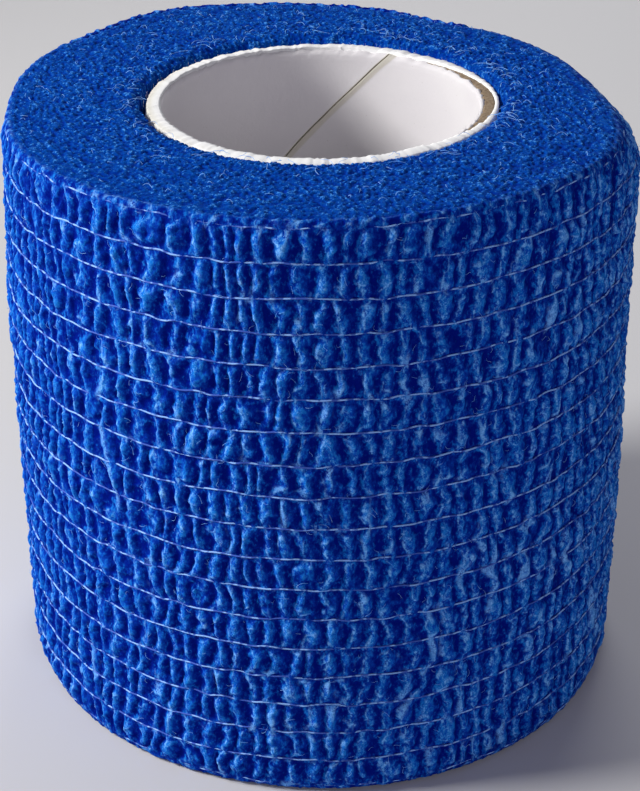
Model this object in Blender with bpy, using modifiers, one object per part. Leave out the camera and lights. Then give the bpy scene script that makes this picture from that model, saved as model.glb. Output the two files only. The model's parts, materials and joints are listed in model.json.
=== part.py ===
"""A roll of cohesive elastic hand wrap, standing on its end on a paper core.

The web is a laminate: two thin creped plies with elastic threads between them. It is wound
clockwise, seen from above, from the core outwards. Its outer turn is built ply by ply, and the
free end of that turn is cut into short lengths on hinges, so that it peels off the roll.

Metres, +Z up. The origin is on the roll's axis, in the plane that the roll stands on.
"""

from math import cos, pi, radians, sin

import bmesh
import bpy
from mathutils import Vector

# The web
WEB_WIDTH = 0.050
ROLL_RADIUS = 0.0263  # outside of the web at its free end
TURN_PITCH = 0.00066  # the radius that one turn adds
TURN_THICKNESS = 0.00046  # one turn, pressed by the turns round it
PLY_THICKNESS = 0.00016
PLY_SPACING = 0.00028  # open space between the two plies, which holds the threads
THREAD_COUNT = 19
THREAD_PITCH = 0.0027
THREAD_RADIUS = 0.00011

# The free end
FREE_END_ANGLE = radians(54)  # from +X towards +Y
STEP_ANGLE = radians(12)  # the angle of one flat facet of the web
TAIL_LENGTHS = 4
STEPS_PER_TAIL_LENGTH = 2
HINGE_GAP = 0.0003  # open space at each hinge, and at every other joint in the web

# The core
CORE_BORE_RADIUS = 0.0127
CORE_RECESS = 0.0007  # the core stands this far inside the web's edges
CORE_STEPS = 30
LINER_WALL = 0.00028
BOARD_WALL = 0.00070
WRAP_WALL = 0.00020
CORE_PLY_GAP = 0.00015
SEAM_LEAD = 0.084  # the height that the liner's seam climbs in one full turn
SEAM_WIDTH = 0.0004
SEAM_START_ANGLE = radians(-85.5)  # where the seam leaves the core's lower edge
SEAM_OVERRUN = 0.002  # the seam's cutter starts below the core and ends above it
SEAM_STEPS = 16

FULL_TURN = 2 * pi
TAIL_ANGLE = TAIL_LENGTHS * STEPS_PER_TAIL_LENGTH * STEP_ANGLE
OUTER_TURN_END = TAIL_ANGLE + FULL_TURN
LAMINATE_THICKNESS = 2 * PLY_THICKNESS + PLY_SPACING
LINER_OUTSIDE = CORE_BORE_RADIUS + LINER_WALL
BOARD_INSIDE = LINER_OUTSIDE + CORE_PLY_GAP
BOARD_OUTSIDE = BOARD_INSIDE + BOARD_WALL
WRAP_INSIDE = BOARD_OUTSIDE + CORE_PLY_GAP
CORE_RADIUS = WRAP_INSIDE + WRAP_WALL

BLUE = (0.012, 0.070, 0.420, 1.0)
DEEP_BLUE = (0.008, 0.045, 0.300, 1.0)
ICE_BLUE = (0.480, 0.600, 0.850, 1.0)
WHITE_PAPER = (0.780, 0.770, 0.740, 1.0)
GREY_BOARD = (0.300, 0.255, 0.205, 1.0)


def remove_all_objects():
    for thing in list(bpy.data.objects):
        bpy.data.objects.remove(thing, do_unlink=True)


def new_collection(name):
    collection = bpy.data.collections.new(name)
    bpy.context.scene.collection.children.link(collection)
    return collection


def principled(name, color, roughness):
    material = bpy.data.materials.new(name)
    material.use_nodes = True
    shader = material.node_tree.nodes["Principled BSDF"]
    shader.inputs["Base Color"].default_value = color
    shader.inputs["Roughness"].default_value = roughness
    shader.inputs["Metallic"].default_value = 0.0
    return material


def add_object(name, data, collection, material):
    piece = bpy.data.objects.new(name, data)
    collection.objects.link(piece)
    if material:
        data.materials.append(material)
    return piece


def web_point(angle, depth):
    """A point on the web's lower edge, this far round from the free end and this deep under its surface."""
    radius = ROLL_RADIUS - TURN_PITCH * angle / FULL_TURN - depth
    around = FREE_END_ANGLE + angle
    return Vector((radius * cos(around), radius * sin(around), 0))


def web_run(start, end, depth, start_gap, end_gap):
    """Points along the web from start to end, drawn back at each end by half a hinge gap."""
    steps = round((end - start) / STEP_ANGLE)
    points = [web_point(start + STEP_ANGLE * i, depth) for i in range(steps + 1)]
    if start_gap:
        points[0] += (points[1] - points[0]).normalized() * HINGE_GAP / 2
    if end_gap:
        points[-1] += (points[-2] - points[-1]).normalized() * HINGE_GAP / 2
    return points


def poly_curve(name, points):
    curve = bpy.data.curves.new(name, "CURVE")
    spline = curve.splines.new("POLY")
    spline.points.add(len(points) - 1)
    for place, point in zip(spline.points, points):
        place.co = (*point, 1.0)
    return curve


def strip(name, points, thickness, collection, material, pivot=None):
    """A length of web standing on its edge: a ribbon along the points, made solid."""
    outline = [point - (pivot or Vector()) for point in points]
    mesh = bpy.data.meshes.new(name)
    builder = bmesh.new()
    lower = [builder.verts.new(point) for point in outline]
    edges = [builder.edges.new(pair) for pair in zip(lower, lower[1:])]
    raised = bmesh.ops.extrude_edge_only(builder, edges=edges)["geom"]
    upper = [item for item in raised if isinstance(item, bmesh.types.BMVert)]
    bmesh.ops.translate(builder, verts=upper, vec=(0, 0, WEB_WIDTH))
    builder.to_mesh(mesh)
    builder.free()
    mesh.shade_smooth()
    piece = add_object(name, mesh, collection, material)
    wall = piece.modifiers.new("Thickness", "SOLIDIFY")
    wall.thickness = thickness
    wall.offset = 0.0
    wall.use_even_offset = True
    return piece


def tube(name, inside, outside, collection, material):
    """One ply of the core: a rectangle turned round the axis."""
    low = CORE_RECESS
    high = WEB_WIDTH - CORE_RECESS
    profile = [(outside, high), (outside, low), (inside, low), (inside, high)]
    mesh = bpy.data.meshes.new(name)
    corners = [(radius, 0, height) for radius, height in profile]
    mesh.from_pydata(corners, [(0, 1), (1, 2), (2, 3), (3, 0)], [])
    piece = add_object(name, mesh, collection, material)
    turn = piece.modifiers.new("Turn", "SCREW")
    turn.steps = CORE_STEPS
    turn.render_steps = CORE_STEPS
    turn.use_smooth_shade = True
    turn.use_merge_vertices = True
    turn.merge_threshold = 0.00001
    return piece


def seam_cutter(collection):
    """The gap between the two edges of the liner's strip: a small upright face swept up a helix."""
    inside = CORE_BORE_RADIUS - CORE_PLY_GAP * 2
    outside = LINER_OUTSIDE + CORE_PLY_GAP / 2
    rise = WEB_WIDTH + 2 * SEAM_OVERRUN
    sweep = -FULL_TURN * rise / SEAM_LEAD
    half_height = SEAM_WIDTH * SEAM_LEAD / (FULL_TURN * CORE_BORE_RADIUS)
    start = SEAM_START_ANGLE + FULL_TURN * SEAM_OVERRUN / SEAM_LEAD
    mesh = bpy.data.meshes.new("liner_seam_cutter")
    builder = bmesh.new()
    profile = [(inside, -half_height), (outside, -half_height), (outside, half_height), (inside, half_height)]
    corners = [
        builder.verts.new((radius * cos(start), radius * sin(start), height - SEAM_OVERRUN))
        for radius, height in profile
    ]
    face = builder.faces.new(corners)
    bmesh.ops.spin(
        builder,
        geom=[face, *face.verts, *face.edges],
        axis=(0, 0, 1),
        cent=(0, 0, 0),
        dvec=(0, 0, rise / SEAM_STEPS),
        angle=sweep,
        steps=SEAM_STEPS,
    )
    bmesh.ops.recalc_face_normals(builder, faces=builder.faces)
    builder.to_mesh(mesh)
    builder.free()
    cutter = add_object("liner_seam_cutter", mesh, collection, None)
    cutter.hide_render = True
    cutter.display_type = "WIRE"
    return cutter


def build_core(parts, cutters, white, grey):
    liner = tube("core_liner", CORE_BORE_RADIUS, LINER_OUTSIDE, parts, white)
    seam = liner.modifiers.new("Seam", "BOOLEAN")
    seam.operation = "DIFFERENCE"
    seam.solver = "EXACT"
    seam.object = seam_cutter(cutters)
    tube("core_board", BOARD_INSIDE, BOARD_OUTSIDE, parts, grey)
    tube("core_wrap", WRAP_INSIDE, CORE_RADIUS, parts, white)


def build_inner_turns(parts, blue):
    """The web from the core to the end of the outer turn, as one long strip."""
    depth = LAMINATE_THICKNESS - TURN_THICKNESS / 2
    wound = ROLL_RADIUS - CORE_RADIUS - depth - TURN_THICKNESS / 2 - CORE_PLY_GAP
    steps = int(FULL_TURN * wound / TURN_PITCH / STEP_ANGLE)
    points = web_run(OUTER_TURN_END, STEP_ANGLE * steps, depth, True, False)
    strip("wound_turns", points, TURN_THICKNESS, parts, blue)


def build_outer_turn(parts, blue, deep_blue):
    for name, depth, material in (
        ("outer_turn_outer_ply", PLY_THICKNESS / 2, blue),
        ("outer_turn_inner_ply", LAMINATE_THICKNESS - PLY_THICKNESS / 2, deep_blue),
    ):
        points = web_run(TAIL_ANGLE, OUTER_TURN_END, depth, True, True)
        strip(name, points, PLY_THICKNESS, parts, material)


def build_threads(parts, ice_blue):
    """The elastic threads, evenly spaced across the web, between the plies of the outer turn."""
    lowest = (WEB_WIDTH - THREAD_PITCH * (THREAD_COUNT - 1)) / 2
    route = web_run(TAIL_ANGLE, OUTER_TURN_END, LAMINATE_THICKNESS / 2, True, True)
    for number in range(THREAD_COUNT):
        name = f"elastic_thread_{number + 1:02d}"
        lift = Vector((0, 0, lowest + THREAD_PITCH * number))
        curve = poly_curve(name, [point + lift for point in route])
        curve.dimensions = "3D"
        curve.bevel_depth = THREAD_RADIUS
        curve.bevel_resolution = 0
        curve.use_fill_caps = True
        add_object(name, curve, parts, ice_blue)


def build_tail(parts, blue, deep_blue):
    """The free end, in short lengths that hang on one another from the peel line outwards."""
    step = STEPS_PER_TAIL_LENGTH * STEP_ANGLE
    parent = None
    pivot = Vector()
    for number in range(1, TAIL_LENGTHS + 1):
        end = TAIL_ANGLE - step * (number - 1)
        start = end - step
        empty = bpy.data.objects.new(f"tail_hinge_{number}", None)
        parts.objects.link(empty)
        empty.empty_display_size = WEB_WIDTH / 10
        empty.parent = parent
        empty.location = web_point(end, 0) - pivot
        pivot = web_point(end, 0)
        parent = empty
        for side, depth, material in (
            ("outer", PLY_THICKNESS / 2, blue),
            ("inner", LAMINATE_THICKNESS - PLY_THICKNESS / 2, deep_blue),
        ):
            points = web_run(start, end, depth, number < TAIL_LENGTHS, True)
            name = f"tail_{side}_ply_{number}"
            strip(name, points, PLY_THICKNESS, parts, material, pivot).parent = empty


def main():
    remove_all_objects()
    parts = new_collection("hand_wrap_roll")
    cutters = new_collection("cutters")
    blue = principled("creped_ply", BLUE, 0.85)
    deep_blue = principled("inner_ply", DEEP_BLUE, 0.9)
    ice_blue = principled("elastic_thread", ICE_BLUE, 0.45)
    white = principled("white_paper", WHITE_PAPER, 0.8)
    grey = principled("grey_board", GREY_BOARD, 0.95)
    build_core(parts, cutters, white, grey)
    build_inner_turns(parts, blue)
    build_outer_turn(parts, blue, deep_blue)
    build_threads(parts, ice_blue)
    build_tail(parts, blue, deep_blue)


main()
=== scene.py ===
"""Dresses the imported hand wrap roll: the creped outer turn and its elastic threads, the wound turns'
end faces, the free end that peels off, the spiral paper core, stray fibres, and a studio stage.

Run it with Blender as a script. Everything is in metres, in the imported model's own frame.
"""

import json
from math import cos, hypot, pi, radians, sin

import bpy
import numpy as np
from bpy.props import FloatProperty, FloatVectorProperty, IntProperty, PointerProperty
from bpy.types import Operator, Panel, PropertyGroup
from mathutils import Matrix, Vector


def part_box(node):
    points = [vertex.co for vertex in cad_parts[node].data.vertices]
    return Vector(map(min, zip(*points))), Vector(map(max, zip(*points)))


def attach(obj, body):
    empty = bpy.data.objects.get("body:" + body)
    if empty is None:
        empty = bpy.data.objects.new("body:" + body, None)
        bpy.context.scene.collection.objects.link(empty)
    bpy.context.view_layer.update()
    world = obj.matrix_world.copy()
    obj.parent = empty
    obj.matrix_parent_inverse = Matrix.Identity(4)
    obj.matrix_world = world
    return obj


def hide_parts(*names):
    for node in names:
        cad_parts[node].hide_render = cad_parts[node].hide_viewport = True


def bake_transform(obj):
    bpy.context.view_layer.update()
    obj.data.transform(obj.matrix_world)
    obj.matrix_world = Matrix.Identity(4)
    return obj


bl_info = {
    "name": "Hand Wrap Roll",
    "version": (1, 0, 0),
    "blender": (4, 5, 0),
    "location": "3D View > Sidebar > Hand Wrap",
    "description": "Builds the fabric, threads, paper core and stage of a hand wrap roll",
    "category": "Object",
}

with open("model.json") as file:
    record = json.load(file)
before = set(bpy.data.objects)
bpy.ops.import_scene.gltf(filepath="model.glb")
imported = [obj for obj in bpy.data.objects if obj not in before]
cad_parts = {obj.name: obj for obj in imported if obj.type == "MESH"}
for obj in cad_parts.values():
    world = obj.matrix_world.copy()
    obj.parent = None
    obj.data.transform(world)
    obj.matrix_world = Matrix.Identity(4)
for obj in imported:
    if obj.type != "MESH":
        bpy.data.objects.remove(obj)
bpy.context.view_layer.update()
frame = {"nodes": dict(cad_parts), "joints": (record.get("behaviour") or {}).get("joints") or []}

MM = 0.001
FULL_TURN = 2 * pi


# What the frame says about the roll


def hinge_place(name):
    """(radius, angle) of one of the free end's hinges, which lie on the web's outer face."""
    joint = next(each for each in frame["joints"] if each["name"] == name)
    across, along, _ = joint["pos_m"]
    return hypot(across, along), float(np.arctan2(along, across)) % FULL_TURN


TAIL_BODIES = ["roll", "tail_1", "tail_2", "tail_3", "tail_4"]
THREAD_NAMES = sorted(name for name in frame["nodes"] if name.startswith("elastic_thread"))
PEEL_RADIUS, PEEL_ANGLE = hinge_place("tail_peel")
LAST_RADIUS, LAST_ANGLE = hinge_place("tail_bend_4")
TAIL_STEP = (PEEL_ANGLE - LAST_ANGLE) / 3
FREE_END_ANGLE = LAST_ANGLE - TAIL_STEP
RADIUS_PER_RADIAN = (LAST_RADIUS - PEEL_RADIUS) / (PEEL_ANGLE - LAST_ANGLE)
FREE_END_RADIUS = PEEL_RADIUS + RADIUS_PER_RADIAN * (PEEL_ANGLE - FREE_END_ANGLE)
TAIL_TURN = PEEL_ANGLE - FREE_END_ANGLE  # the angle of web that peels off
OUTER_END = TAIL_TURN + FULL_TURN
WEB_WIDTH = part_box("wound_turns")[1].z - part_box("wound_turns")[0].z
THREAD_HEIGHTS = [(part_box(name)[0].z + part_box(name)[1].z) / 2 for name in THREAD_NAMES]
THREAD_PITCH = (THREAD_HEIGHTS[-1] - THREAD_HEIGHTS[0]) / (len(THREAD_HEIGHTS) - 1)
CORE_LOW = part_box("core_liner")[0].z
CORE_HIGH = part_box("core_liner")[1].z
CORE_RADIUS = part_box("core_wrap")[1].x
RUN_PER_RADIAN = FREE_END_RADIUS  # web length along the outer turn, for each radian


# Sizes that the frame doesn't hold

LAMINATE = 0.60 * MM  # the web's full thickness
FRAYED_END = 0.4 * MM  # the length that is frayed at the free end
TAIL_WALL = 0.48 * MM  # thickness of the free end's mesh, less than the full one by its crinkles
EDGE_ROUND = 0.45 * MM  # radius of the web's soft edge
SHELF = 1.3 * MM  # how far loose fibres of the edge reach in over the end face
END_DROP = 0.20 * MM  # how far the end face's mean level lies inside the web's full width
THREAD_DEPTH = 0.168 * MM  # of a thread's middle line, under the web's outer face
INNER_THREAD_DEPTH = 0.60 * MM  # of the strand that shows a thread on the free end's inner face
PACK_BORE = CORE_RADIUS + 0.22 * MM  # radius of the wound turns' seat on the core
BORE_RADIUS = 12.7 * MM
LINER_WALL = 0.26 * MM
WRAP_WALL = 0.30 * MM
PLY_GAP = 0.02 * MM  # between the board and the plies on its two sides
FOLD_IN = 1.12 * MM  # how far the wrap's upper edge leans in over the board
SEAM_START = radians(-85.5)  # the liner seam's angle at the roll's lower end
SEAM_LEAD = 84 * MM  # the height in which the seam would go once round
SEAM_GAP = 0.055 * MM  # half the dark gap between the liner's two long edges


# Where points are shared out

END_MARGIN = 1.2 * MM  # the outer turn's rows are counted with this much of each shelf
PACK_PIECES = 4
PACK_LOOP = 26 * MM  # length that the wound turns' rows are spread over
PACK_MEAN_RADIUS = 20 * MM
TAIL_COARSER = 1.15  # the free end's mesh steps are this much longer, since its wall doubles them
LINER_GRID = (320, 90)
TUBE_GRID = (420, 60)
CORE_FIBRES = 120
LOWER_END = 31.0  # offset that gives the lower end face a pattern of its own


# Smooth random fields


class Unevenness:
    """Smooth random values from -1 to 1 over a plane, one value for each unit square's corner."""

    SIDE = 257

    def __init__(self, seed):
        self.corners = np.random.default_rng(seed).uniform(-1, 1, (self.SIDE, self.SIDE))

    def __call__(self, across, along):
        column = np.floor(across)
        row = np.floor(along)
        u = self.ease(across - column)
        v = self.ease(along - row)
        left = column.astype(int) % self.SIDE
        low = row.astype(int) % self.SIDE
        right = (left + 1) % self.SIDE
        high = (low + 1) % self.SIDE
        below = self.corners[left, low] * (1 - u) + self.corners[right, low] * u
        above = self.corners[left, high] * (1 - u) + self.corners[right, high] * u
        return below * (1 - v) + above * v

    @staticmethod
    def ease(share):
        return share * share * share * (share * (share * 6 - 15) + 10)


# One field for each use. Offsets, and odd factors on a row's number, take parts that lie well apart.
DRIFT, SHIFT, BOW, LEAN, SIZE, FOLD = (Unevenness(seed) for seed in range(11, 17))
FUZZ, SWAY, OUTLINE, LAYER, GRAIN, CLUMP = (Unevenness(seed) for seed in range(17, 23))


def smooth_step(low, high, value):
    """0 at low and 1 at high, smooth in between. It falls where low is the larger."""
    share = np.clip((value - low) / (high - low), 0, 1)
    return share * share * (3 - 2 * share)


# The web


HELD_SHARE = 0.72  # how far a thread pulls the crinkles level along its own line
HELD_BODY = 0.44  # the level that it pulls them to
FULL_BODY = 1.2  # the highest crest, which counts as relief 1
FACE_RELIEF = 0.68  # the relief that lies at the web's own radius


def web_settings():
    return bpy.context.scene.hand_wrap_web


def thread_sway(run, number):
    """How far a thread wanders up or down from its own height."""
    slow = SWAY(run / (7 * MM), number * 3.37)
    quick = SWAY(run / (1.3 * MM) + 40, number * 5.71)
    return web_settings().thread_sway * (0.45 * slow + 0.55 * quick)


def crepe(run, height):
    """The web's crinkles: lift of its face in metres, and what the finish draws by.

    relief runs from 0 at the bottom between crinkles to 1 at their tops, wave from 0 to 1 across half
    a crinkle, fold is near 0 along the thin folds, and a fourth value is 1 on the flank of a crinkle
    that faces left seen from outside, towards the key light, where the finish paints highlights.
    """
    settings = web_settings()
    level = (height - THREAD_HEIGHTS[0]) / THREAD_PITCH
    level = level - thread_sway(run, level) / THREAD_PITCH
    row = np.floor(level)
    between = level - row  # from 0 at one thread to 1 at the next
    puff = 4 * between * (1 - between)
    # The crinkles wander, shift from row to row, bow and lean between two threads, and are grainy.
    warp = 0.60 * DRIFT(run / (6 * MM), height / (11 * MM))
    warp = warp + 0.32 * SHIFT(run / (1.9 * MM), row * 7.31 + 3)
    warp = warp + 0.42 * (puff - 0.4) * BOW(run / (1.3 * MM), row * 5.17 + 9)
    warp = warp + 0.55 * (between - 0.5) * LEAN(run / (1.8 * MM), row * 3.73 + 5)
    warp = warp + 0.10 * GRAIN(run / (0.7 * MM), height / (0.55 * MM))
    phase = pi * (run / settings.crepe_pitch + warp)
    wave = np.abs(np.cos(phase))
    # 1 on the flank of each crinkle that faces left seen from outside, towards the key light; the
    # finish paints its highlights there.
    lit_flank = 0.5 - 0.5 * np.sin(2 * phase)
    size = 0.85 + 0.32 * SIZE(run / (1.0 * MM), row * 2.91 + 1)
    curve = 0.9 * BOW(run / (1.4 * MM) + 50, height / (0.9 * MM))
    fold = np.abs(FOLD(run / (0.70 * MM) + curve, height / (2.1 * MM)))
    pinch = 0.62 + 0.38 * puff**0.6
    lumps = 0.16 * CLUMP(run / (0.45 * MM), height / (0.60 * MM))
    lumps = lumps + 0.10 * FUZZ(run / (0.27 * MM), height / (0.30 * MM))
    creases = 0.26 * smooth_step(0.26, 0.02, fold) * (0.3 + 0.7 * puff) * (0.55 + 0.45 * wave)
    body = wave**1.5 * size * pinch + creases
    held = HELD_SHARE * smooth_step(0.25, 0.05, np.minimum(between, 1 - between))
    body = body * (1 - held) + HELD_BODY * held
    relief = np.clip(body + lumps * (0.7 + 0.3 * wave), 0, FULL_BODY) / FULL_BODY
    lift = settings.crepe_height * (relief - FACE_RELIEF)
    return lift, {"relief": relief, "wave": wave, "fold": fold, "lit_flank": lit_flank, "end_face": run * 0}


def signed(angle):
    """The same angle, between minus and plus half a turn."""
    return (angle + pi) % FULL_TURN - pi


def bump_at(angle, middle, width):
    """1 at the middle angle, falling smoothly to nothing on both sides."""
    return np.exp(-((signed(angle - middle) / width) ** 2))


def outline(angle, height):
    """How far the whole roll is out of round.

    It is proud at the back, low at the left and stepped in at the right, all near its upper edge.
    """
    up = np.clip(height / WEB_WIDTH, 0, 1)
    soft = 0.12 * OUTLINE(angle * 1.6 + 20, height / (17 * MM))
    proud = 0.9 * bump_at(angle, radians(124), 0.20) * smooth_step(0.5, 1, up)
    low = -0.6 * bump_at(angle, radians(183), 0.30) * smooth_step(0.6, 1, up)
    step = -0.7 * bump_at(angle, radians(60), 0.16) * smooth_step(0.7, 1, up)
    return (soft + proud + low + step - 0.22) * MM


def rim_draw(angle, height):
    """How far the web is drawn in at its two edges, most of all at the right of the upper one."""
    apart = signed(angle)
    side = smooth_step(radians(-34), radians(12), apart)
    side = side * (1 - smooth_step(radians(56), radians(124), apart))
    lower_margin = 2.4 * MM
    upper_margin = (2.4 + 4.4 * side) * MM
    top = np.clip((height - (WEB_WIDTH - upper_margin)) / upper_margin, 0, 1)
    bottom = np.clip((lower_margin - height) / lower_margin, 0, 1)
    return (0.50 + 3.6 * side) * MM * top**2 + 0.55 * MM * bottom**2


def web_radius(turn):
    """Radius of the web's outer face this far round from the free end."""
    return FREE_END_RADIUS - RADIUS_PER_RADIAN * turn


def spun(radius, angle, height):
    """Points from their radius, angle and height."""
    return np.stack([radius * np.cos(angle), radius * np.sin(angle), height], axis=1)


# Making pieces


def deselect_all():
    if bpy.context.object and bpy.context.object.mode != "OBJECT":
        bpy.ops.object.mode_set(mode="OBJECT")
    bpy.ops.object.select_all(action="DESELECT")


def pick(piece):
    """Leaves the piece as the only one selected, and the active one."""
    deselect_all()
    piece.select_set(True)
    bpy.context.view_layer.objects.active = piece


def grid_piece(name, columns, rows, placed):
    """A grid whose points are moved one by one. placed takes shares from 0 to 1 along its two sides.

    It returns the points and the values that the finish draws by, each under its attribute's name.
    """
    deselect_all()
    bpy.ops.mesh.primitive_grid_add(x_subdivisions=columns, y_subdivisions=rows, size=1)
    piece = bpy.context.object
    piece.name = name
    mesh = piece.data
    mesh.name = name
    flat = np.empty(len(mesh.vertices) * 3)
    mesh.vertices.foreach_get("co", flat)
    shares = flat.reshape(-1, 3)[:, :2] + 0.5
    points, drawn = placed(shares[:, 0], shares[:, 1])
    mesh.vertices.foreach_set("co", points.ravel())
    for key, values in drawn.items():
        kept = mesh.attributes.new(key, "FLOAT", "POINT")
        kept.data.foreach_set("value", values.astype(np.float32))
    mesh.shade_smooth()
    mesh.update()
    return piece


def weld(piece, distance=0.002 * MM):
    """Joins the points that lie on each other, which closes a rolled grid's seam."""
    pick(piece)
    bpy.ops.object.mode_set(mode="EDIT")
    bpy.ops.mesh.select_all(action="SELECT")
    bpy.ops.mesh.remove_doubles(threshold=distance)
    bpy.ops.object.mode_set(mode="OBJECT")


def close_ends(piece):
    """Welds a loop's seam and shuts its two open ends, each with a face that has its own points."""
    weld(piece)
    bpy.ops.object.mode_set(mode="EDIT")
    bpy.ops.mesh.select_mode(type="EDGE")
    bpy.ops.mesh.select_all(action="DESELECT")
    bpy.ops.mesh.select_non_manifold()
    bpy.ops.mesh.edge_face_add()
    bpy.ops.mesh.split()
    bpy.ops.mesh.select_mode(type="VERT")
    bpy.ops.object.mode_set(mode="OBJECT")


def thicken(piece, thickness, offset):
    """Gives a single sheet its wall, inwards where offset is -1 and outwards where it is 1."""
    pick(piece)
    wall = piece.modifiers.new("Thickness", "SOLIDIFY")
    wall.thickness = thickness
    wall.offset = offset
    bpy.ops.object.modifier_apply(modifier=wall.name)


def strands(name, routes, radius, sides=0, taper=None):
    """Thin round strands along the routes, as one mesh. taper takes shares of their length."""
    curve = bpy.data.curves.new(name, "CURVE")
    curve.dimensions = "3D"
    curve.bevel_depth = radius
    curve.bevel_resolution = sides
    curve.use_fill_caps = True
    for route in routes:
        spline = curve.splines.new("POLY")
        spline.points.add(len(route) - 1)
        spline.points.foreach_set("co", np.column_stack([route, np.ones(len(route))]).ravel())
        if taper is not None:
            spline.points.foreach_set("radius", taper(np.linspace(0, 1, len(route))))
    piece = bpy.data.objects.new(name, curve)
    bpy.context.scene.collection.objects.link(piece)
    pick(piece)
    bpy.ops.object.convert(target="MESH")
    piece = bpy.context.object
    piece.name = name
    piece.data.shade_smooth()
    return piece


def finish_piece(piece, finish, body):
    """Gives the piece its finish and slot, and its body when one is given."""
    piece.data.materials.clear()
    piece.data.materials.append(finish_for(finish))
    if body:
        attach(piece, body)


# Materials


class Socket:
    """A shader output that takes part in Python sums, each of which adds its Math node."""

    def __init__(self, tree, output):
        self.tree = tree
        self.output = output

    def maths(self, operation, *values):
        return self.tree.node("ShaderNodeMath", {"operation": operation}, dict(enumerate(values)))

    def __add__(self, other):
        return self.maths("ADD", self, other)

    __radd__ = __add__

    def __sub__(self, other):
        return self.maths("SUBTRACT", self, other)

    def __rsub__(self, other):
        return self.maths("SUBTRACT", other, self)

    def __mul__(self, other):
        return self.maths("MULTIPLY", self, other)

    __rmul__ = __mul__

    def larger(self, other):
        return self.maths("MAXIMUM", self, other)

    def size(self):
        return self.maths("ABSOLUTE", self)

    def clamped(self):
        return self.maths("MINIMUM", self.maths("MAXIMUM", self, 0.0), 1.0)

    def between(self, low, high):
        """0 below low, 1 above high, smooth in between."""
        inputs = {"Value": self, "From Min": low, "From Max": high}
        return self.tree.node("ShaderNodeMapRange", {"interpolation_type": "SMOOTHSTEP"}, inputs)


class Finish:
    """One material's node tree."""

    def __init__(self, name):
        self.material = bpy.data.materials.new(name)
        self.material.use_nodes = True
        self.nodes = self.material.node_tree.nodes
        self.links = self.material.node_tree.links
        self.shader = self.nodes["Principled BSDF"]

    def put(self, socket, value):
        if isinstance(value, Socket):
            self.links.new(value.output, socket)
        else:
            socket.default_value = value

    def node(self, kind, settings=None, inputs=None, output=0):
        made = self.nodes.new(kind)
        for key, value in (settings or {}).items():
            setattr(made, key, value)
        for key, value in (inputs or {}).items():
            self.put(made.inputs[key], value)
        return Socket(self, made.outputs[output])

    def place(self):
        return self.node("ShaderNodeTexCoord", output="Object")

    def attribute(self, name):
        return self.node("ShaderNodeAttribute", {"attribute_name": name}, output="Fac")

    def cloudy(self, vector, scale, detail=2.0, roughness=0.5):
        """Noise from 0 to 1 with this many patches to the metre."""
        inputs = {"Vector": vector, "Scale": scale, "Detail": detail, "Roughness": roughness}
        return self.node("ShaderNodeTexNoise", None, inputs)

    def blend(self, share, first, second):
        """One colour from two. A Mix node keeps its colour sockets at these places."""
        settings = {"data_type": "RGBA", "clamp_factor": True}
        return self.node("ShaderNodeMix", settings, {0: share, 6: first, 7: second}, output=2)

    def surface(self, **values):
        """Sets or links the shader's sockets, each under its own name in small letters."""
        for key, value in values.items():
            self.put(self.shader.inputs[key.replace("_", " ").title().replace("Ior", "IOR")], value)

    def bumps(self, height, strength, distance):
        inputs = {"Height": height, "Strength": strength, "Distance": distance}
        self.put(self.shader.inputs["Normal"], self.node("ShaderNodeBump", None, inputs))


def opaque(color):
    """The colour with its alpha of 1, as a socket takes it."""
    return (*color, 1.0)


def tint(name):
    """One of the colours that a user would change."""
    return opaque(getattr(bpy.context.scene.hand_wrap_colors, name))


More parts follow.
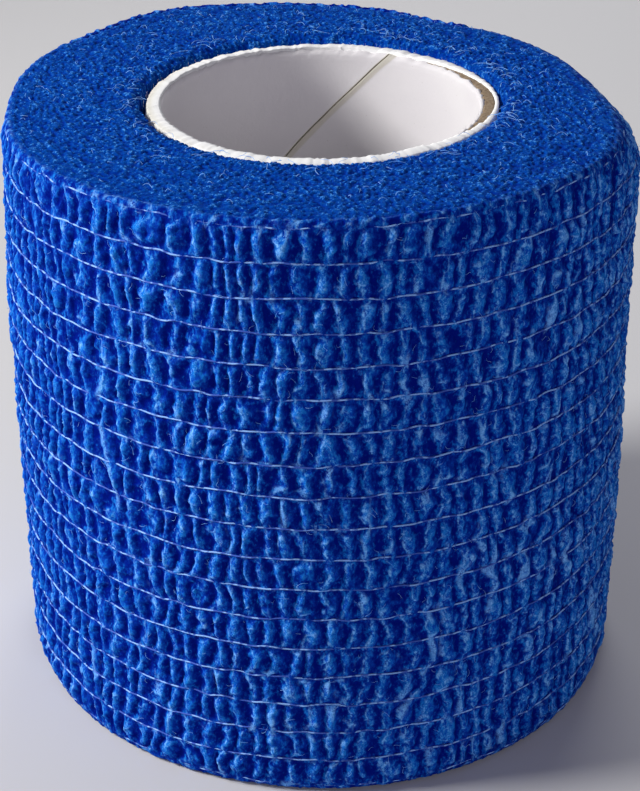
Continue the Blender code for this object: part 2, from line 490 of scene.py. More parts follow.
def creped_web_finish():
    """The web's blue: painted shade in hollows, painted highlights on crinkles, and grainy end faces.
    """
    finish = Finish("creped_web_finish")
    relief, wave, fold, lit_flank = map(finish.attribute, ("relief", "wave", "fold", "lit_flank"))
    place = finish.place()
    clouds = finish.cloudy(place, 1400.0, 2.0)
    upright = finish.node("ShaderNodeMapping", None, {"Vector": place, "Scale": (1.0, 1.0, 0.65)})
    mottles = finish.cloudy(upright, 3400.0, 3.0, 0.65)
    fibres = finish.cloudy(place, 8500.0, 2.0, 0.6)
    # Painted shade where the web lies low between crinkles, then the web's blue, then paler patches
    # that are partly random and partly a painted highlight on the higher parts and on the lit flanks.
    above_pit_shade = relief + (mottles - 0.5) * 1.5 + (clouds - 0.5) * 0.5 + (lit_flank - 0.5) * 0.24
    side = finish.blend(above_pit_shade.between(-0.04, 0.80), tint("pit_shade"), tint("web"))
    patches_and_highlight = relief * 0.6 + (mottles - 0.5) * 2.1 + (fibres - 0.5) * 0.5 + (lit_flank - 0.5) * 0.3
    side = finish.blend(patches_and_highlight.between(0.14, 0.74), side, tint("web_light"))
    # Thin broken painted highlight strokes along the crinkles' flanks and creases, and painted glints,
    # both kept to the higher parts and to the flanks that face the key light.
    edge = 1.0 - (wave - 0.82 + (clouds - 0.5) * 0.9).size().between(0.0, 0.18)
    crease = 1.0 - fold.between(0.0, 0.15)
    some = (clouds * 0.6 + mottles * 0.4).between(0.45, 0.60)
    broken = (mottles * 0.5 + fibres * 0.5).between(0.34, 0.54)
    highlight_lines = (edge * some).larger(crease * (1.0 - some * 0.4)) * broken
    highlight_lines = highlight_lines * relief.between(0.15, 0.50) * lit_flank.between(0.06, 0.55)
    glints = (fibres * 0.70 + mottles * 0.30).between(0.54, 0.61)
    glints = glints * relief.between(0.35, 0.70) * lit_flank.between(0.2, 0.6)
    side = finish.blend((highlight_lines * 0.80 + glints * 0.40).clamped(), side, tint("crest_highlight"))
    # The end faces: painted shade in the gaps between the turns' edges, and painted glints on the odd
    # fibre end.
    grains = finish.cloudy(place, 5600.0, 2.0, 0.6)
    risen = (relief + (grains - 0.5) * 1.2).between(0.12, 0.80)
    end = finish.blend(risen, tint("end_gap_shade"), tint("end_face"))
    specks = (relief * 0.30 + grains).between(0.77, 0.87)
    end = finish.blend(specks * 0.75, end, tint("end_speck"))
    finish.surface(
        base_color=finish.blend(finish.attribute("end_face"), side, end),
        roughness=0.92 - 0.2 * fibres,
        sheen_weight=0.01,
        sheen_roughness=0.4,
        sheen_tint=(0.2, 0.5, 1.0, 1.0),
        specular_ior_level=0.01,
    )
    finish.bumps(mottles + fibres * 0.5, 0.6, 0.14 * MM)
    return finish.material


def thread_finish():
    """Pale stretched thread, darker in random lengths along it."""
    finish = Finish("elastic_thread_finish")
    bright_lengths = finish.cloudy(finish.place(), 1500.0, 2.0).between(0.44, 0.56)
    tone = finish.blend(bright_lengths, tint("thread_dim"), tint("thread"))
    finish.surface(base_color=tone, roughness=0.5, specular_ior_level=0.12)
    return finish.material


def fibre_finish():
    """Pale stray fibres, some as blue as the web's crests."""
    finish = Finish("stray_fibre_finish")
    blue = finish.cloudy(finish.place(), 900.0, 1.0).between(0.4, 0.6)
    tone = finish.blend(blue, tint("fibre"), tint("crest_highlight"))
    finish.surface(base_color=tone, roughness=0.6, specular_ior_level=0.08)
    return finish.material


def white_paper_finish():
    """White paper with pulp and flecks, brighter at the core's upper edge and bare along its seam."""
    finish = Finish("white_paper_finish")
    place = finish.place()
    pulp = finish.cloudy(place, 3600.0, 4.0, 0.6)
    cloud = finish.cloudy(place, 160.0, 3.0)
    fleck = finish.node("ShaderNodeTexVoronoi", None, {"Vector": place, "Scale": 1500.0})
    tone = finish.blend(cloud.between(0.35, 0.7) * 0.5, tint("paper"), tint("paper_shade"))
    tone = finish.blend((1.0 - fleck.between(0.03, 0.10)) * 0.2, tone, tint("board"))
    # Brighter paper towards the core's upper rim.
    tone = finish.blend(finish.attribute("upper_rim") * 0.9, tone, tint("paper_edge"))
    bare = finish.attribute("bare") * (0.55 + 0.4 * pulp)
    tone = finish.blend(bare.clamped(), tone, tint("paper_bare"))
    finish.surface(base_color=tone, roughness=0.78 + 0.12 * pulp, specular_ior_level=0.3)
    finish.bumps(pulp, 0.25, 0.06 * MM)
    return finish.material


def grey_board_finish():
    """Rough grey-brown board, mottled by its pulp."""
    finish = Finish("grey_board_finish")
    place = finish.place()
    pulp = finish.cloudy(place, 4200.0, 4.0, 0.7)
    tone = finish.blend(pulp.between(0.3, 0.7), tint("board"), tint("board_light"))
    finish.surface(base_color=tone, roughness=0.95, specular_ior_level=0.2)
    finish.bumps(pulp, 0.5, 0.1 * MM)
    return finish.material


FINISHES = {
    "creped_web": creped_web_finish,
    "elastic_thread": thread_finish,
    "stray_fibre": fibre_finish,
    "white_paper": white_paper_finish,
    "grey_board": grey_board_finish,
}


def finish_for(name):
    return bpy.data.materials.get(f"{name}_finish") or FINISHES[name]()


# Sizes and colours that a user would change


def length_property(name, description, default, least=0.0):
    return FloatProperty(
        name=name, description=description, default=default, min=least, unit="LENGTH"
    )


def angle_property(name, description, default):
    return FloatProperty(name=name, description=description, default=default, subtype="ANGLE")


class HandWrapWeb(PropertyGroup):
    """The web's crinkles, threads and fibres, and how fine its mesh is"""

    crepe_pitch: length_property(
        "Crinkle pitch", "Distance from one crinkle to the next round the roll", 1.54 * MM, 0.5 * MM
    )
    crepe_height: length_property(
        "Crinkle height", "Height of a crinkle from pit to crest", 0.54 * MM
    )
    mesh_step: length_property(
        "Mesh step", "Distance between the points of the web's mesh", 0.15 * MM, 0.05 * MM
    )
    end_step: length_property(
        "End face step", "Distance between the points of the end faces' mesh", 0.115 * MM, 0.05 * MM
    )
    thread_sway: length_property(
        "Thread sway", "How far a thread wanders from its own height", 0.21 * MM
    )
    thread_radius: length_property(
        "Thread radius", "Radius of one elastic thread", 0.075 * MM, 0.01 * MM
    )
    outer_pieces: IntProperty(
        name="Outer turn pieces", description="Pieces that the outer turn is made in", default=6, min=6
    )
    fibre_count: IntProperty(
        name="Stray fibres", description="Sets how many stray fibres there are", default=2200, min=0
    )
    seed: IntProperty(name="Seed", description="Chooses the places of the stray fibres", default=7)


def color_property(name, description, default):
    """A colour that a user would change."""
    return FloatVectorProperty(
        name=name, description=description, default=default, subtype="COLOR", size=3, min=0, max=1
    )


class HandWrapColors(PropertyGroup):
    """The colours of the web, the threads and the core"""

    web: color_property("Web", "The creped web's own blue", (0.003, 0.056, 0.46))
    # Paler blue, put partly in random patches and partly as a painted highlight on the crinkles'
    # higher parts and lit flanks.
    web_light: color_property("Web, light", "Lighter patches of the web", (0.008, 0.165, 0.61))
    # Painted shade: the darker blue put where the web lies low between its crinkles.
    pit_shade: color_property("Pits", "The web down between its crinkles", (0.0002, 0.007, 0.20))
    # Painted highlight: the pale blue of thin strokes and glints on the crinkles' lit flanks; the
    # stray fibres use it too.
    crest_highlight: color_property("Crests", "Fibres that catch the light on the crests", (0.20, 0.48, 0.97))
    end_face: color_property("End face", "The turns' edges, seen from above", (0.0015, 0.064, 0.36))
    # Painted shade in the gaps between the turns' edges on the end faces.
    end_gap_shade: color_property(
        "End face, pits", "Dark gaps between the turns' edges", (0.0002, 0.024, 0.27)
    )
    end_speck: color_property(
        "End face, specks", "Fibre ends that catch the light", (0.07, 0.31, 0.80)
    )
    thread: color_property("Thread", "Stretched elastic thread", (0.27, 0.49, 0.94))
    # The darker thread colour, used in random lengths along each thread.
    thread_dim: color_property("Thread, dim", "Thread that fibres lie over", (0.05, 0.11, 0.50))
    fibre: color_property("Fibre", "Pale stray fibres", (0.27, 0.52, 0.97))
    paper: color_property("Paper", "White paper of the core", (0.67, 0.655, 0.672))
    paper_shade: color_property(
        "Paper, shaded", "Slightly greyer patches of the paper", (0.61, 0.59, 0.62)
    )
    paper_edge: color_property(
        "Paper, edge", "Brighter paper folded over the core's upper edge", (0.84, 0.85, 0.85)
    )
    paper_bare: color_property(
        "Paper, seam", "Bare tan paper along the liner's seam", (0.50, 0.47, 0.36)
    )
    board: color_property("Board", "Grey-brown board of the core", (0.175, 0.122, 0.076))
    board_light: color_property("Board, light", "Lighter fibres in the board", (0.33, 0.255, 0.175))


class HandWrapStage(PropertyGroup):
    """The camera, the lights and the floor"""

    camera_place: FloatVectorProperty(
        name="Camera place",
        description="Where the camera stands",
        default=(0.95 * MM, -151.6 * MM, 104.6 * MM),
        subtype="TRANSLATION",
        unit="LENGTH",
        size=3,
    )
    camera_dip: angle_property("Camera dip", "How far the camera looks down", radians(28.43))
    camera_turn: angle_property(
        "Camera turn", "How far the camera looks to the right", radians(-0.43)
    )
    camera_tilt: angle_property(
        "Camera tilt", "How far the camera rolls about its own axis", radians(-0.33)
    )
    lens: FloatProperty(
        name="Lens", description="Focal length in mm for a 36 mm sensor", default=91.16, min=10
    )
    key_power: FloatProperty(
        name="Key light", description="Power of the light at the upper left", default=1.5, min=0
    )
    fill_power: FloatProperty(
        name="Fill light", description="Power of the soft light at the right", default=0.26, min=0
    )
    floor_color: color_property("Floor", "The plain pale floor", (0.58, 0.58, 0.59))


# Pieces


def outer_turn_profile(up):
    """(height, depth under the face, share of end face) along one column, from shelf to shelf."""
    arc = pi / 2 * EDGE_ROUND
    face = WEB_WIDTH - 2 * EDGE_ROUND
    along = np.abs(up - 0.5) * (2 * SHELF + 2 * arc + face)
    turned = np.clip((along - face / 2) / EDGE_ROUND, 0, pi / 2)
    height = np.minimum(along, face / 2) + EDGE_ROUND * np.sin(turned)
    depth = EDGE_ROUND * (1 - np.cos(turned)) + np.clip(along - face / 2 - arc, 0, None)
    share = smooth_step(0.1, 0.9, turned / (pi / 2))
    return WEB_WIDTH / 2 + np.where(up > 0.5, height, -height), depth, share


def place_outer_turn(first, last):
    """The points of the outer turn from one angle to another, measured from the free end."""

    def placed(across, up):
        turn = first + (last - first) * across
        height, depth, end_face = outer_turn_profile(up)
        run = turn * RUN_PER_RADIAN
        angle = FREE_END_ANGLE + turn
        lift, drawn = crepe(run, height)
        covered = smooth_step(FULL_TURN - 0.01, FULL_TURN, turn)
        near_edge = smooth_step(1.6 * MM, 0.3 * MM, np.minimum(height, WEB_WIDTH - height))
        lift = lift * (1 - 0.6 * near_edge) * (1 - end_face) * (1 - 0.3 * covered)
        radius = web_radius(turn) - depth + lift
        radius = radius + outline(angle, height) - rim_draw(angle, height) - covered * 0.05 * MM
        upper = height > WEB_WIDTH / 2
        grain, drawn_end = wound_edges(angle, radius, np.where(upper, 0.0, LOWER_END))
        drop = end_face * (END_DROP - grain - 0.03 * MM)
        height = np.where(upper, height - drop, height + drop)
        radius = radius + 0.6 * grain * end_face * (1 - end_face) * 4
        drawn = {key: drawn[key] * (1 - end_face) + drawn_end[key] * end_face for key in drawn}
        return spun(radius, angle, np.maximum(height, 0)), drawn

    return placed


def wound_edges(angle, radius, side):
    """The turns' edges on one end face: their height in metres, and what the finish draws by."""
    x = radius * np.cos(angle)
    y = radius * np.sin(angle)
    waviness = 0.75 * LAYER(x / (1.3 * MM) + side, y / (1.3 * MM))
    waviness = waviness + 0.45 * LAYER(x / (0.6 * MM), y / (0.6 * MM) + side)
    turns = (FREE_END_RADIUS - radius) / (RADIUS_PER_RADIAN * FULL_TURN) - angle / FULL_TURN
    layer = np.abs(np.cos(pi * (turns + waviness)))
    grain = GRAIN(x / (0.30 * MM) + side, y / (0.30 * MM))
    fine = FUZZ(x / (0.17 * MM), y / (0.17 * MM) + side)
    clump = CLUMP(x / (0.9 * MM), y / (0.9 * MM) + side)
    relief = np.clip(0.45 + 0.10 * layer + 0.28 * grain + 0.34 * fine + 0.10 * clump, 0, 1)
    ones = np.ones_like(relief)
    drawn = {"relief": relief, "wave": layer, "fold": grain, "lit_flank": ones / 2, "end_face": ones}
    return 0.30 * MM * (relief - 0.5), drawn


def place_wound_pack(first, last):
    """A share of the wound turns, as one loop: outside, upper end, core seat, lower end."""

    def placed(across, up):
        angle = first + (last - first) * across
        turn = (angle - PEEL_ANGLE) % FULL_TURN
        turn = np.where((across > 0.5) & (turn < 1e-6), FULL_TURN, turn) + TAIL_TURN
        marks = [0.0, 0.04, 0.48, 0.54, 0.98, 1.0]  # the loop's corners, most rows on the end faces
        share = np.interp(up, marks, [0, 0, 1, 1, 0, 0])
        height = np.interp(up, marks, [0.5, 1, 1, 0, 0, 0.5]) * WEB_WIDTH
        outside = web_radius(turn) - LAMINATE + outline(angle, height) - rim_draw(angle, height)
        radius = outside + (PACK_BORE - outside) * share
        upper = (up >= marks[1]) & (up <= marks[2])
        lower = (up >= marks[3]) & (up <= marks[4])
        lift, drawn = wound_edges(angle, radius, lower * LOWER_END)
        to_seat = radius - PACK_BORE
        rim_droop = 0.12 * smooth_step(0.8 * MM, 0.5 * MM, outside - radius)
        seat_droop = 0.30 * smooth_step(0.8 * MM, 0, to_seat)
        droop = END_DROP + (rim_droop + seat_droop) * MM
        height = np.where(upper, height + lift - droop, height)
        height = np.where(lower, np.maximum(height - lift + droop, 0), height)
        ragged = 0.20 * MM * CLUMP(angle * 16 + 3, height / (0.5 * MM))
        radius = radius + np.where(to_seat < 0.25 * MM, ragged, 0)
        return spun(radius, angle, height), drawn

    return placed


def arc_columns(radians_wide):
    """How many mesh steps go into this much of the outer turn."""
    return max(8, round(radians_wide * FREE_END_RADIUS / web_settings().mesh_step))


class BuildOuterTurn(Operator):
    """Builds the creped outer turn of the web, with its rounded edges"""

    bl_idname = "hand_wrap.build_outer_turn"
    bl_label = "Outer Turn"

    def execute(self, context):
        settings = web_settings()
        count = settings.outer_pieces
        step = FULL_TURN / count
        rows = round((WEB_WIDTH + 2 * END_MARGIN) / settings.mesh_step)
        columns = arc_columns(step)
        nodes = ["outer_turn_outer_ply", "outer_turn_inner_ply"]
        for number in range(count):
            first = TAIL_TURN + step * number
            place = place_outer_turn(first, first + step)
            piece = grid_piece(f"outer_turn_{number + 1}", columns, rows, place)
            finish_piece(piece, "creped_web", "roll")
            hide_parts(*nodes)
            length = step * (FREE_END_RADIUS - 0.4 * MM)  # 0.4 mm in from the face, amid the web
        return {"FINISHED"}


class BuildWoundTurns(Operator):
    """Builds the turns wound under the outer one, whose edges make the end faces"""

    bl_idname = "hand_wrap.build_wound_turns"
    bl_label = "Wound Turns"

    def execute(self, context):
        step = FULL_TURN / PACK_PIECES
        rows = round(PACK_LOOP / web_settings().end_step)
        columns = round(step * PACK_MEAN_RADIUS / web_settings().end_step)
        for number in range(PACK_PIECES):
            first = PEEL_ANGLE + step * number
            place = place_wound_pack(first, first + step)
            piece = grid_piece(f"wound_turns_{number + 1}", columns, rows, place)
            close_ends(piece)
            finish_piece(piece, "creped_web", "roll")
            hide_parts("wound_turns")
        return {"FINISHED"}


def thread_route(number, turn, depth=THREAD_DEPTH):
    """One thread's middle line, this far under the web's outer face."""
    run = turn * RUN_PER_RADIAN
    sway = thread_sway(run, np.full_like(run, float(number)))
    height = THREAD_HEIGHTS[number] + sway
    angle = FREE_END_ANGLE + turn
    bob = 0.07 * MM * SWAY(run / (0.9 * MM) + 90, np.full_like(run, number * 1.9))
    radius = web_radius(turn) - depth - rim_draw(angle, height) + outline(angle, height) + bob
    return spun(radius, angle, height)


class BuildThreads(Operator):
    """Lays the elastic threads round the roll, one for each thread of the frame"""

    bl_idname = "hand_wrap.build_threads"
    bl_label = "Elastic Threads"

    def execute(self, context):
        settings = web_settings()
        count = round(FULL_TURN * FREE_END_RADIUS / (2 * settings.mesh_step))
        turn = np.linspace(TAIL_TURN, OUTER_END, count + 1)
        for number, name in enumerate(THREAD_NAMES):
            route = thread_route(number, turn)
            piece = strands(f"{name}_yarn", [route], settings.thread_radius)
            finish_piece(piece, "elastic_thread", "roll")
            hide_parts(name)
        return {"FINISHED"}


def place_tail(first, last):
    """The points of one length of the free end, on its outer face."""

    def placed(across, up):
        turn = first + (last - first) * across
        run = turn * RUN_PER_RADIAN
        height = up * WEB_WIDTH
        angle = FREE_END_ANGLE + turn
        lift, drawn = crepe(run, height)
        rim = smooth_step(0.9 * MM, 0, np.minimum(height, WEB_WIDTH - height))
        radius = web_radius(turn) + lift * (1 - 0.5 * rim)
        radius = radius - rim_draw(angle, height) + outline(angle, height) - 0.25 * rim**2 * MM
        drop = (0.10 + 0.10 * FUZZ(run / (0.3 * MM), height / (3 * MM))) * rim * MM
        height = np.where(height > WEB_WIDTH / 2, height - drop, height + 0.2 * drop)
        frayed = 0.25 * MM * np.abs(FUZZ(height / (0.4 * MM), height * 0))
        frayed = frayed * smooth_step(FRAYED_END, 0, run)
        return spun(radius, angle + frayed / FREE_END_RADIUS, height), drawn

    return placed


class BuildTail(Operator):
    """Builds the free end of the web and its threads, one length for each of its hinges"""

    bl_idname = "hand_wrap.build_tail"
    bl_label = "Free End"

    def execute(self, context):
        settings = web_settings()
        rows = round(WEB_WIDTH / (TAIL_COARSER * settings.mesh_step))
        columns = round(arc_columns(TAIL_STEP) / TAIL_COARSER)
        steps = max(4, round(TAIL_STEP * FREE_END_RADIUS / (2 * settings.mesh_step)))
        for number in range(1, len(TAIL_BODIES)):
            last = TAIL_TURN - TAIL_STEP * (number - 1)
            first = last - TAIL_STEP
            web = grid_piece(f"tail_web_{number}", columns, rows, place_tail(first, last))
            thicken(web, TAIL_WALL, -1.0)
            finish_piece(web, "creped_web", None)
            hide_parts(f"tail_outer_ply_{number}", f"tail_inner_ply_{number}")
            turn = np.linspace(max(first, FRAYED_END / FREE_END_RADIUS), last, steps + 1)
            routes = [
                thread_route(each, turn, depth)
                for depth in (THREAD_DEPTH, INNER_THREAD_DEPTH)
                for each in range(len(THREAD_NAMES))
            ]
            yarn = strands(f"tail_threads_{number}", routes, settings.thread_radius)
            finish_piece(yarn, "elastic_thread", None)
            for piece in (web, yarn):
                self.bend(piece, number, last)
            flat = (WEB_WIDTH, TAIL_STEP * FREE_END_RADIUS)
        return {"FINISHED"}

    @staticmethod
    def bend(piece, number, last):
        """Finds the two ends of the piece's first four fifths, then bakes the piece's transform into
        its mesh.
        """
        start_angle = FREE_END_ANGLE + last
        end_angle = start_angle - TAIL_STEP * 0.8
        radius = web_radius(last)
        start = Vector((radius * cos(start_angle), radius * sin(start_angle), 0))
        end = Vector((radius * cos(end_angle), radius * sin(end_angle), 0))
        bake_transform(piece)


def seam_angle(height):
    """Where the liner's seam is at this height."""
    return SEAM_START - FULL_TURN * height / SEAM_LEAD


def folded_over(angle):
    """1 where the wrap's upper edge is folded in over the board, 0 where the board shows."""
    return smooth_step(0, radians(60), np.abs(signed(angle)))


def place_liner(across, up):
    """The liner's inner face, a strip wound up a helix so that its long edges meet at the seam."""
    height = CORE_LOW + (CORE_HIGH - CORE_LOW) * up
    gap = SEAM_GAP / BORE_RADIUS
    # Many columns lie close to the seam, where the strip's two edges are ragged and lift a little.
    across = np.interp(across, [0, 0.05, 0.95, 1], [0, 0.012, 0.988, 1])
    edge = np.minimum(across, 1 - across) * FULL_TURN * BORE_RADIUS
    last = across > 0.5
    angle = seam_angle(height) + gap + (FULL_TURN - 2 * gap) * across
    unevenness = 0.05 * MM / BORE_RADIUS * CLUMP(up * 40, across * 0)
    angle = angle + unevenness * smooth_step(0.6 * MM, 0, edge)
    lifted = np.where(last, 0.05, 0.01) * MM * smooth_step(0.9 * MM, 0, edge)
    dent = 0.05 * MM * OUTLINE(angle * 2.2, height / (15 * MM))
    dent = dent + 0.10 * MM * smooth_step(0.990, 1, up)
    ragged = 0.12 * MM * FUZZ(across * 240, up * 0)
    ragged = ragged * (smooth_step(0.97, 1, up) - smooth_step(0.03, 0, up))
    sunk = 0.14 * MM * smooth_step(0.97, 1, up) * folded_over(angle)
    # A tan band along the last edge, and a narrow worn one on both.
    bare = smooth_step(0.75 * MM, 0.50 * MM, edge) * np.where(last, 0.8, 0)
    bare = np.maximum(bare, smooth_step(0.16 * MM, 0.06 * MM, edge))
    points = spun(BORE_RADIUS - lifted + dent, angle, height + ragged - sunk)
    return points, {"bare": bare, "upper_rim": bare * 0}


def place_tube(inside, outside, fray, lean, sink, seed):
    """One ply of the core as a closed loop, between two radii.

    fray is the raggedness of its edges, lean how far its upper edge folds in, and sink how far the
    upper edge lies under the others. All three are lengths, and seed moves the pattern.
    """

    def placed(across, up):
        angle = FULL_TURN * (1 - across)  # this way round, the faces point outwards
        marks = [0.0, 0.40, 0.50, 0.90, 1.0]  # inside, upper edge, outside, lower edge
        height = np.interp(up, marks, [0, 1, 1, 0, 0])
        side = np.interp(up, marks, [0, 0, 1, 1, 0])
        folded = folded_over(angle)
        near_top = smooth_step(0.993, 1, height)
        radius = inside + (outside - inside) * side
        leaning = lean * folded * near_top
        radius = radius - leaning * (1 - side) - 0.28 * leaning * side
        around_x = np.cos(angle)
        around_y = np.sin(angle)
        loose = FUZZ(around_x * 60 + seed, around_y * 60) * 0.6
        loose = loose + GRAIN(around_x * 24, around_y * 24 + seed) * 0.4
        crown = np.sin(np.clip(side, 0, 1) * pi)
        height = CORE_LOW + (CORE_HIGH - CORE_LOW) * height
        top = height > CORE_HIGH - 0.2 * MM
        rise = fray * (loose + 0.5 * crown) + 0.10 * MM * (1 - side) * folded * near_top
        height = np.where(top, height + rise - sink * (0.3 + folded), height)
        height = np.where(height < CORE_LOW + 0.2 * MM, height - rise * 0.5, height)
        worn = 0.8 * smooth_step(0.3, 0.9, side) * bump_at(angle, pi, 0.8)
        worn = worn * smooth_step(0.97, 1, near_top)
        return spun(radius, angle, height), {"bare": worn, "upper_rim": near_top}

    return placed


class BuildCore(Operator):
    """Builds the spiral paper core: the white liner with its seam, the board and the white wrap"""

    bl_idname = "hand_wrap.build_core"
    bl_label = "Paper Core"

    def execute(self, context):
        liner = grid_piece("core_liner_strip", *LINER_GRID, place_liner)
        thicken(liner, LINER_WALL, 1.0)
        finish_piece(liner, "white_paper", "roll")
        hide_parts("core_liner")
        inside = BORE_RADIUS + LINER_WALL + PLY_GAP
        outside = CORE_RADIUS - WRAP_WALL - PLY_GAP
        place = place_tube(inside, outside, fray=0.06 * MM, lean=0, sink=0.22 * MM, seed=3)
        board = grid_piece("core_board_tube", *TUBE_GRID, place)
        weld(board)
        finish_piece(board, "grey_board", "roll")
        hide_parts("core_board")
        inside = CORE_RADIUS - WRAP_WALL
        place = place_tube(inside, CORE_RADIUS, fray=0.12 * MM, lean=FOLD_IN, sink=0, seed=9)
        wrap = grid_piece("core_wrap_ply", *TUBE_GRID, place)
        weld(wrap)
        finish_piece(wrap, "white_paper", "roll")
        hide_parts("core_wrap")
        return {"FINISHED"}


def level_way(angle):
    """The unit vector at this angle in the floor's plane."""
    return np.array([cos(angle), sin(angle), 0.0])


def curl(random, place, outward, along, length, bow):
    """One loose fibre of five lengths: it leaves the surface, bows and comes back."""
    share = np.linspace(0, 1, 6)[:, None]
    side = np.cross(outward, along)
    swing = random.uniform(-1, 1)
    path = place + along * (share - 0.5) * length + outward * np.sin(share * pi) * bow
    return path + side * np.sin(share * pi * random.choice([1, 2])) * swing * length * 0.3


class BuildFibres(Operator):
    """Scatters stray fibres over the roll's side, its end faces and the core's cut edge"""

    bl_idname = "hand_wrap.build_fibres"
    bl_label = "Stray Fibres"

    def execute(self, context):
        settings = web_settings()
        random = np.random.default_rng(settings.seed)
        on_side = self.side_routes(random, settings.fibre_count // 2)
        self.scatter("side_fibres", on_side, 0.014 * MM, "stray_fibre", "creped_web")
        on_ends = self.end_routes(random, settings.fibre_count // 5)
        self.scatter("end_fibres", on_ends, 0.022 * MM, "stray_fibre", "creped_web")
        on_core = self.core_routes(random, CORE_FIBRES)
        self.scatter("core_fibres", on_core, 0.012 * MM, "white_paper", "white_paper")
        return {"FINISHED"}

    @staticmethod
    def scatter(name, routes, radius, finish, slot):
        piece = strands(name, routes, radius, taper=lambda share: 1 - 0.6 * share)
        finish_piece(piece, finish, "roll")

    @staticmethod
    def side_routes(random, count):
        routes = []
        for _ in range(count):
            turn = random.uniform(TAIL_TURN + 0.02, FULL_TURN - 0.02)
            height = random.uniform(0.6 * MM, WEB_WIDTH - 0.6 * MM)
            angle = FREE_END_ANGLE + turn
            outward = level_way(angle)
            across = level_way(angle + pi / 2)
            tilt = random.uniform(0, pi)
            along = across * cos(tilt) + np.array([0, 0, sin(tilt)])
            lift, _ = crepe(np.array([turn * RUN_PER_RADIAN]), np.array([height]))
            radius = web_radius(turn) + lift[0] - rim_draw(angle, height) + outline(angle, height)
            place = outward * (radius - 0.02 * MM) + np.array([0, 0, height])
            length = random.uniform(0.3, 1.0) * MM
            bow = random.uniform(0.05, 0.22) * MM
            routes.append(curl(random, place, outward, along, length, bow))
        return routes

    @staticmethod
    def end_routes(random, count):
        routes = []
        for number in range(count):
            angle = random.uniform(0, FULL_TURN)
            near_core = number % 3 == 0
            reach = random.uniform(0.02, 0.22) if near_core else random.uniform(0.05, 0.95)
            up = 1 if random.uniform() < 0.7 else -1
            edge = FREE_END_RADIUS - 1.2 * MM - rim_draw(angle, WEB_WIDTH if up > 0 else 0)
            radius = PACK_BORE + (edge - PACK_BORE) * reach
            height = WEB_WIDTH if up > 0 else 0.1 * MM
            place = level_way(angle) * radius + np.array([0, 0, height])
            tilt = random.uniform(0, FULL_TURN)
            along = level_way(tilt)
            outward = np.array([0, 0, float(up)])
            length = random.uniform(0.3, 0.9) * (2.0 if near_core else 1.0) * MM
            bow = random.uniform(0.05, 0.25) * MM if up > 0 else 0.02 * MM
            routes.append(curl(random, place, outward, along, length, bow))
        return routes

    @staticmethod
    def core_routes(random, count):
        routes = []
        for _ in range(count):
            angle = random.uniform(0, FULL_TURN)
            outward = level_way(angle)
            edge = random.choice([BORE_RADIUS + 0.1 * MM, CORE_RADIUS - 0.1 * MM])
            place = outward * edge + np.array([0, 0, CORE_HIGH - 0.05 * MM])
            lean = random.uniform(-0.6, 0.6)
            along = level_way(angle + pi / 2) * lean + np.array([0, 0, 1.0])
            length = random.uniform(0.2, 0.6) * MM
            bow = random.uniform(-0.1, 0.1) * MM
            routes.append(curl(random, place, outward, along, length, bow))
        return routes


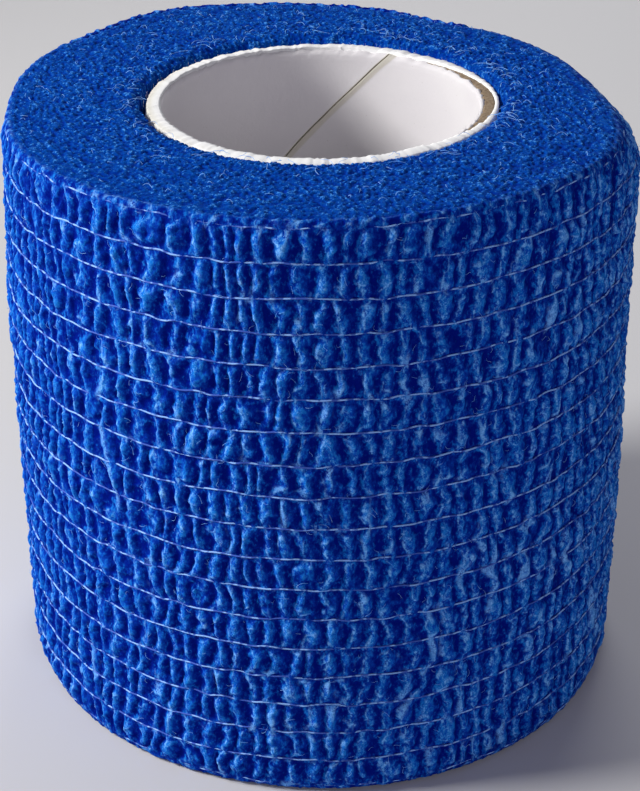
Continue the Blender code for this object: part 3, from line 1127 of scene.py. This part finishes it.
class BuildStage(Operator):
    """Sets the floor, the soft studio lights and the camera"""

    bl_idname = "hand_wrap.build_stage"
    bl_label = "Stage"

    def execute(self, context):
        settings = context.scene.hand_wrap_stage
        self.floor(settings)
        self.camera(context, settings)
        key = settings.key_power
        fill = settings.fill_power
        self.light("key_light", (-0.28, -0.035, 0.20), 0.11, key, (1.0, 0.98, 0.95))
        self.light("fill_light", (0.10, -0.32, 0.16), 0.20, fill, (0.95, 0.91, 1.0))
        self.light("back_light", (0.05, 0.26, 0.20), 0.18, fill * 1.2, (1.0, 1.0, 1.0))
        self.world(context)
        context.scene.view_settings.view_transform = "Standard"
        return {"FINISHED"}

    @staticmethod
    def world(context):
        """Faint cool light from all round"""
        world = bpy.data.worlds.new("studio")
        context.scene.world = world
        world.use_nodes = True
        background = world.node_tree.nodes["Background"]
        background.inputs["Color"].default_value = (0.84, 0.82, 1.0, 1.0)
        background.inputs["Strength"].default_value = 0.13

    @staticmethod
    def floor(settings):
        deselect_all()
        bpy.ops.mesh.primitive_plane_add(size=3, location=(0, 0, -0.02 * MM))
        floor = bpy.context.object
        floor.name = "studio_floor"
        finish = Finish("studio_floor")
        soft = finish.cloudy(finish.place(), 3.0, 2.0)
        tone = finish.blend(soft * 0.1, opaque(settings.floor_color), (0.52, 0.52, 0.53, 1.0))
        finish.surface(base_color=tone, roughness=0.7)
        floor.data.materials.append(finish.material)

    @staticmethod
    def light(name, place, size, power, color):
        """A round soft light that looks at the middle of the roll"""
        data = bpy.data.lights.new(name, "AREA")
        data.shape = "DISK"
        data.size = size
        data.energy = power
        data.color = color
        lamp = bpy.data.objects.new(name, data)
        bpy.context.scene.collection.objects.link(lamp)
        lamp.location = place
        towards = Vector((0, 0, WEB_WIDTH * 0.5)) - Vector(place)
        lamp.rotation_euler = towards.to_track_quat("-Z", "Y").to_euler()

    @staticmethod
    def camera(context, settings):
        data = bpy.data.cameras.new("camera")
        data.lens = settings.lens
        data.sensor_width = 36
        data.clip_start = 0.01
        data.clip_end = 10
        camera = bpy.data.objects.new("camera", data)
        context.scene.collection.objects.link(camera)
        dip = settings.camera_dip
        turn = settings.camera_turn
        tilt = settings.camera_tilt
        # The camera's own axes: ahead, level across its view, and upright.
        ahead = Vector((sin(turn) * cos(dip), cos(turn) * cos(dip), -sin(dip)))
        level = Vector((cos(turn), -sin(turn), 0))
        upright = level.cross(ahead)
        right = level * cos(tilt) + upright * sin(tilt)
        up = upright * cos(tilt) - level * sin(tilt)
        turned = Matrix((right, up, -ahead)).transposed().to_4x4()
        camera.matrix_world = Matrix.Translation(settings.camera_place) @ turned
        context.scene.camera = camera


class HandWrapPanel(Panel):
    """Lists the sizes, the colours and the steps in the 3D view's sidebar"""

    bl_idname = "VIEW3D_PT_hand_wrap"
    bl_label = "Hand Wrap"
    bl_space_type = "VIEW_3D"
    bl_region_type = "UI"
    bl_category = "Hand Wrap"

    def draw(self, context):
        scene = context.scene
        for group in (scene.hand_wrap_web, scene.hand_wrap_colors, scene.hand_wrap_stage):
            box = self.layout.box()
            for key in group.bl_rna.properties.keys():
                if key not in {"rna_type", "name"}:
                    box.prop(group, key)
        for step in STEPS:
            self.layout.operator(step.bl_idname)


STEPS = (BuildStage, BuildCore, BuildWoundTurns, BuildOuterTurn, BuildThreads, BuildTail, BuildFibres)
GROUPS = (HandWrapWeb, HandWrapColors, HandWrapStage)


def register():
    for item in (*GROUPS, *STEPS, HandWrapPanel):
        bpy.utils.register_class(item)
    bpy.types.Scene.hand_wrap_web = PointerProperty(type=HandWrapWeb)
    bpy.types.Scene.hand_wrap_colors = PointerProperty(type=HandWrapColors)
    bpy.types.Scene.hand_wrap_stage = PointerProperty(type=HandWrapStage)


def unregister():
    del bpy.types.Scene.hand_wrap_stage
    del bpy.types.Scene.hand_wrap_colors
    del bpy.types.Scene.hand_wrap_web
    for item in (HandWrapPanel, *reversed(STEPS), *reversed(GROUPS)):
        bpy.utils.unregister_class(item)


def main():
    register()
    bpy.ops.hand_wrap.build_stage()
    bpy.ops.hand_wrap.build_core()
    bpy.ops.hand_wrap.build_wound_turns()
    bpy.ops.hand_wrap.build_outer_turn()
    bpy.ops.hand_wrap.build_threads()
    bpy.ops.hand_wrap.build_tail()
    bpy.ops.hand_wrap.build_fibres()


if __name__ == "__main__":
    main()
